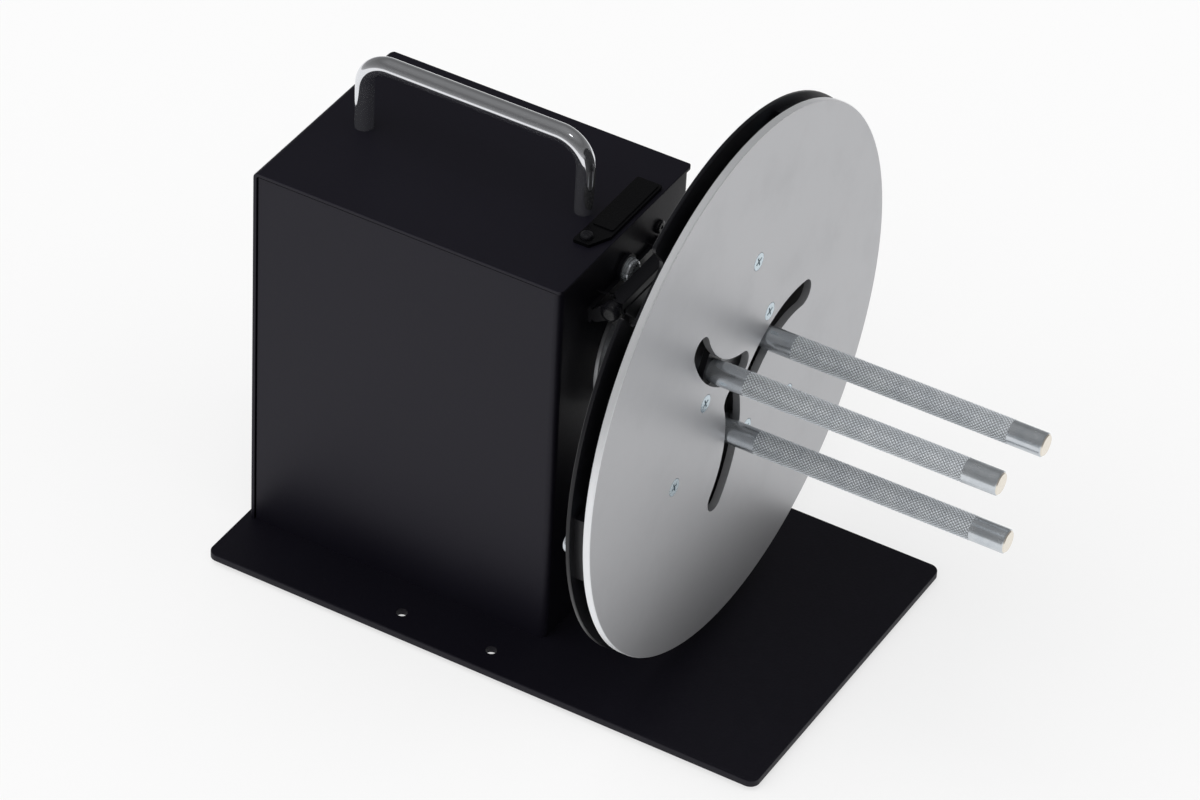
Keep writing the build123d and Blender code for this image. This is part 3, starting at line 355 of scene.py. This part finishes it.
discCentre = Vector((0, 0, axisZ))
finish = {
    "housing": powderMaterial("housingPowder", grain=0.7),
    "base": powderMaterial("basePowder", tone=0.74, roughShift=0.10, grain=1.6, shine=1.05),
    "zinc": zincMaterial("zincPlate"),
    "screwZinc": zincMaterial("screwZinc", roughShift=-0.02, blue=0.10),
    "pinZinc": zincMaterial("pinZinc", stretch=zincPlate["drawn"], roughShift=-0.04,
                            endsFrom=high("core_pin_1").x - zincPlate["endDepth"]),
    "knurlZinc": zincMaterial("knurlZinc", stretch=zincPlate["drawn"], tone=1.15, paintKnurlShade=True),
    "disc": discMaterial("anodisedDisc", discCentre),
    "chrome": chromeMaterial("polishedChrome"),
    "steel": steelMaterial("groundSteel"),
    "bearing": steelMaterial("bearingSteel", (0.58, 0.59, 0.60), 0.18),
    "turned": steelMaterial("turnedAluminium", (0.52, 0.53, 0.545), 0.34),
    "blackPlate": blackMetalMaterial("blackPlate"),
    "blackScrew": blackMetalMaterial("blackScrew", (0.008, 0.008, 0.010), 0.28),
    "blackArm": blackMetalMaterial("blackArm", (0.010, 0.010, 0.012), 0.40),
    "knob": plasticMaterial("mouldedKnob", (0.014, 0.014, 0.015), 0.42),
    "glide": plasticMaterial("glidePlastic", (0.42, 0.50, 0.57), 0.38, grain=700.0),
    "rubber": plasticMaterial("padRubber", (0.022, 0.022, 0.023), 0.75, grain=500.0, depth=0.0001),
    "badge": plasticMaterial("badgeGloss", (0.0030, 0.0030, 0.0036), 0.26, grain=420.0, depth=0.00016,
                             shine=0.16),
    "iron": ironMaterial("paintedCasting"),
    "friction": frictionMaterial("brakeLining"),
}

wearing = {
    "housing": ["housing_walls", "housing_cover", "bearing_bracket"],
    "base": ["base_plate"],
    "rubber": ["rubber_pads"],
    "zinc": ["base_screws", "base_nuts", "clinch_nuts", "handle_screws", "handle_washers", "bearing_nuts",
             "bearing_bolts", "bearing_washers", "crank_arm", "crank_washer", "crank_bolt", "knob_bolt",
             "brake_disc_screws", "block_screws"],
    "screwZinc": ["hub_screws", "pivot_screws"],
    "pinZinc": ["core_pin_1", "core_pin_2", "core_pin_3"],
    "disc": ["front_disc"],
    "chrome": ["carry_handle"],
    "steel": ["spindle_shaft", "shaft_collars", "pivot_sleeves", "pivot_spacers", "cam_follower_1",
              "cam_follower_2", "cam_follower_3"],
    "bearing": ["bearing_outer_rings", "bearing_inner_rings", "bearing_balls"],
    "turned": ["disc_hub", "brake_disc", "hub_standoffs"],
    "blackPlate": ["rear_disc", "brake_bracket", "brake_lever", "brake_clamp_plate", "rim_blocks"],
    "blackArm": ["swing_arm_1", "swing_arm_2", "swing_arm_3"],
    "blackScrew": ["cover_screws", "badge_screw", "set_screws", "brake_clamp_screws", "brake_pivot_pin",
                   "brake_pin_clip", "brake_springs"],
    "knob": ["crank_knob"],
    "glide": ["glide_pads"],
    "badge": ["badge_plate"],
    "iron": ["front_bearing_unit", "rear_bearing_unit"],
    "friction": ["brake_pad"],
}
for key, names in wearing.items():
    for name in names:
        slots = nodes[name].data.materials
        slots.clear()
        slots.append(finish[key])
unfinished = sorted(set(nodes) - {n for names in wearing.values() for n in names})
assert not unfinished, unfinished
print("finishes given")


# meshes

def lathe(profile, centre, sides=64):
    points = []
    faces = []
    for x, radius in profile:
        for k in range(sides):
            turn = 2 * pi * k / sides
            points.append((x, centre.y + radius * cos(turn), centre.z + radius * sin(turn)))
    for ring in range(len(profile) - 1):
        for k in range(sides):
            a, b = ring * sides + k, ring * sides + (k + 1) % sides
            faces.append((a, b, b + sides, a + sides))
    faces.append(tuple(reversed(range(sides))))
    faces.append(tuple(range((len(profile) - 1) * sides, len(profile) * sides)))
    return points, faces


def sweep(path, radius, sides=48):
    points = []
    faces = []
    for i, at in enumerate(path):
        along = (path[min(i + 1, len(path) - 1)] - path[max(i - 1, 0)]).normalized()
        side = Vector((0, 1, 0))
        up = along.cross(side)
        for k in range(sides):
            turn = 2 * pi * k / sides
            points.append(at + radius * (side * cos(turn) + up * sin(turn)))
    for ring in range(len(path) - 1):
        for k in range(sides):
            a, b = ring * sides + k, ring * sides + (k + 1) % sides
            faces.append((a, a + sides, b + sides, b))
    faces.append(tuple(range(sides)))
    faces.append(tuple(reversed(range((len(path) - 1) * sides, len(path) * sides))))
    return points, faces


smoothAngle = 0.6  # radians, below which two faces are shaded as one


def piece(name, shape, finishKey, body):
    points, faces = shape
    mesh = bpy.data.meshes.new(name)
    mesh.from_pydata([tuple(p) for p in points], [], faces)
    mesh.update()
    mesh.shade_smooth()
    mesh.set_sharp_from_angle(angle=smoothAngle)
    made = bpy.data.objects.new(name, mesh)
    bpy.context.scene.collection.objects.link(made)
    mesh.materials.append(finish[finishKey])
    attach(made, body)
    return made


# knurled core pins

pin = {"knurlFrom": 11.5 * mm, "knurlTo": 101.7 * mm, "pitch": 1.5 * mm, "around": 21, "depth": 0.45 * mm,
       "weld": 0.01 * mm, "underKnurl": 1.3, "smooth": 0.12 * mm, "chamfer": 0.8 * mm,
       "shankRadius": 3.0 * mm, "collarRadius": 4.5 * mm, "collarBack": 4.2 * mm, "collarFront": 0.6 * mm}


def knurlRecipe():
    g = Recipe("diamondKnurl", {"Length": "NodeSocketFloat", "Radius": "NodeSocketFloat",
                                "Depth": "NodeSocketFloat", "Steps Along": "NodeSocketInt",
                                "Steps Around": "NodeSocketInt", "Material": "NodeSocketMaterial"})
    along, around = g.given("Steps Along"), g.given("Steps Around")
    grid = g.node("GeometryNodeMeshGrid", None, 1.0, 1.0, along + 1, around + 1)
    x, y = g.split(g.node("GeometryNodeInputPosition"))[:2]
    x, y = x + 0.5, y + 0.5  # both run from 0 to 1
    odd = g.node("ShaderNodeMath", {"operation": "PINGPONG"}, x * along + y * around, 1.0)
    reach = g.given("Radius") - odd * g.given("Depth")
    turn = y * (2 * pi)
    place = g.join(x * g.given("Length"), reach * g.node("ShaderNodeMath", {"operation": "COSINE"}, turn),
                   reach * g.node("ShaderNodeMath", {"operation": "SINE"}, turn))
    marked = g.node("GeometryNodeStoreNamedAttribute", {"data_type": "FLOAT", "domain": "POINT"},
                    Geometry=grid, Name="peak", Value=1.0 - odd)
    wrapped = g.node("GeometryNodeSetPosition", None, Geometry=marked, Position=place)
    closed = g.node("GeometryNodeMergeByDistance", None, Geometry=wrapped, Distance=pin["weld"])
    split = g.node("GeometryNodeTriangulate", None, closed)
    g.ends(g.node("GeometryNodeSetShadeSmooth", None, Geometry=split, Shade_Smooth=False))
    return g


def makePins():
    recipe = knurlRecipe()
    length = pin["knurlTo"] - pin["knurlFrom"]
    for k in (1, 2, 3):
        node = "core_pin_%d" % k
        start, end = low(node), high(node)
        centre = (start + end) / 2
        radius = (end.y - start.y) / 2
        knurl = recipe.mesh(node + "_knurl", {"Length": length, "Radius": radius, "Depth": pin["depth"],
                                              "Steps Along": 2 * round(length / pin["pitch"]),
                                              "Steps Around": 2 * pin["around"],
                                              "Material": finish["knurlZinc"]})
        left, right = discFace + pin["knurlFrom"], discFace + pin["knurlTo"]
        knurl.transform(Matrix.Translation((left, centre.y, centre.z)))
        plain = radius - pin["smooth"]
        core = radius - pin["depth"] * pin["underKnurl"]
        back, front = discFace - pin["collarBack"], discFace + pin["collarFront"]
        shank, collar = pin["shankRadius"], pin["collarRadius"]
        outline = [(start.x, shank), (back, shank), (back, collar), (front, collar), (front, plain),
                   (left, plain), (left, core), (right, core), (right, plain),
                   (end.x - pin["chamfer"], plain), (end.x, plain - pin["chamfer"])]
        turned = piece(node + "_turned", lathe(outline, centre), "pinZinc", "arm_%d" % k)
        grip = bpy.data.objects.new(node + "_knurl", knurl)
        bpy.context.scene.collection.objects.link(grip)
        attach(grip, "arm_%d" % k)
        for made in (turned, grip):
            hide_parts(node)


# carry handle, one smooth bent rod

handle = {"bend": 11.5 * mm, "bendSteps": 24}


def makeHandle():
    start, end = low("carry_handle"), high("carry_handle")
    radius = (end.y - start.y) / 2
    left, right, top = start.x + radius, end.x - radius, end.z - radius
    bend = handle["bend"]
    path = [Vector((left, 0, start.z)), Vector((left, 0, top - bend))]
    for i in range(1, handle["bendSteps"] + 1):
        turn = pi / 2 * i / handle["bendSteps"]
        path.append(Vector((left + bend * (1 - cos(turn)), 0, top - bend + bend * sin(turn))))
    path += [Vector((left + right - p.x, 0, p.z)) for p in reversed(path)]
    made = piece("carry_handle_rod", sweep(path, radius), "chrome", "base")
    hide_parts("carry_handle")


makePins()
makeHandle()
print("pins and handle made")


# floor, light, camera

studio = {"floorReach": 1.1, "floorHeight": -0.2 * mm, "floorColour": (0.94, 0.94, 0.94),
          "floorGlow": 0.65, "light": 0.46,
          "mirrored": [(0.36, 0.95), (0.43, 0.40), (0.52, 0.24), (0.62, 0.18), (0.80, 0.11), (1.0, 0.22)]}


def plainlySeen(g):
    rays = [g.node("ShaderNodeLightPath", out=kind)
            for kind in ("Is Camera Ray", "Is Glossy Ray", "Is Transmission Ray")]
    return g.node("ShaderNodeMath", {"operation": "ADD", "use_clamp": True}, rays[0], rays[1] + rays[2])


def makeFloor():
    mesh = bpy.data.meshes.new("floor")
    r, z = studio["floorReach"], studio["floorHeight"]
    mesh.from_pydata([(-r, -r, z), (r, -r, z), (r, r, z), (-r, r, z)], [], [(0, 1, 2, 3)])
    floor = bpy.data.objects.new("floor", mesh)
    bpy.context.scene.collection.objects.link(floor)
    g = Graph("floorPale")
    g.into("Base Color", studio["floorColour"]).into("Roughness", 0.9).into("Specular IOR Level", 0.1)
    white = g.node("ShaderNodeEmission", None, (1, 1, 1, 1), 1.0)
    mixed = g.node("ShaderNodeMixShader", None, plainlySeen(g) * studio["floorGlow"],
                   Sock(g, g.shader.outputs[0]), white)
    g.tree.links.new(mixed.socket, g.output.inputs["Surface"])
    mesh.materials.append(g.material)


def makeWorld():
    world = bpy.data.worlds.new("studio")
    bpy.context.scene.world = world
    world.use_nodes = True
    world.node_tree.nodes.clear()
    g = Net(world.node_tree)
    height = g.split(g.node("ShaderNodeTexCoord", out="Generated"))[2]
    mirrored = g.node("ShaderNodeValToRGB", {"stops": studio["mirrored"]}, height * 0.5 + 0.5)
    lit = g.node("ShaderNodeBackground", None, (1, 1, 1, 1), studio["light"])
    room = g.node("ShaderNodeBackground", None, mirrored, 1.0)
    white = g.node("ShaderNodeBackground", None, (1, 1, 1, 1), 1.0)
    shone = g.node("ShaderNodeMixShader", None, g.node("ShaderNodeLightPath", out="Is Glossy Ray"), lit, room)
    camera = g.node("ShaderNodeLightPath", out="Is Camera Ray")
    seen = g.node("ShaderNodeMixShader", None, camera, shone, white)
    out = g.tree.nodes.new("ShaderNodeOutputWorld")
    g.tree.links.new(seen.socket, out.inputs["Surface"])


lamps = [
    {"name": "soft", "from": (-0.45, -0.55, 1.0), "wide": 1.4, "strength": 1.7, "mirrored": False},
    {"name": "side", "from": (1.0, 0.1, 0.7), "wide": 0.9, "strength": 0.4, "mirrored": False},
    {"name": "spark", "from": (0.25, -0.35, 1.0), "wide": 0.20, "strength": 0.06, "mirrored": True},
]


def makeLamps():
    for spec in lamps:
        light = bpy.data.lights.new(spec["name"], "SUN")
        light.angle = spec["wide"]
        light.energy = spec["strength"]
        lamp = bpy.data.objects.new(spec["name"], light)
        bpy.context.scene.collection.objects.link(lamp)
        lamp.location = spec["from"]
        lamp.rotation_euler = (-Vector(spec["from"])).to_track_quat("-Z", "Y").to_euler()
        lamp.visible_glossy = spec["mirrored"]


# the viewpoint is measured from the middle of the base plate
viewpoint = {"at": (0.810315, -1.479683, 1.423296), "right": (0.86128159, 0.50630219, 0.04303613),
             "up": (-0.34436953, 0.5193341, 0.78211362), "back": (0.37363571, -0.6884404, 0.62164795),
             "lens": 170.6, "sensor": 36.0, "clip": (0.05, 20.0)}


def makeCamera():
    camera = bpy.data.objects.new("camera", bpy.data.cameras.new("camera"))
    bpy.context.scene.collection.objects.link(camera)
    camera.data.lens = viewpoint["lens"]
    camera.data.sensor_fit = "HORIZONTAL"
    camera.data.sensor_width = viewpoint["sensor"]
    camera.data.clip_start, camera.data.clip_end = viewpoint["clip"]
    turn = Matrix([viewpoint["right"], viewpoint["up"], viewpoint["back"]]).transposed().to_4x4()
    baseMiddle = (low("base_plate") + high("base_plate")) / 2
    camera.matrix_world = Matrix.Translation(Vector(viewpoint["at"]) + Vector((baseMiddle.x, 0, 0))) @ turn
    bpy.context.scene.camera = camera


makeFloor()
makeWorld()
makeLamps()
makeCamera()
bpy.context.scene.view_settings.view_transform = "Standard"
print("studio ready")
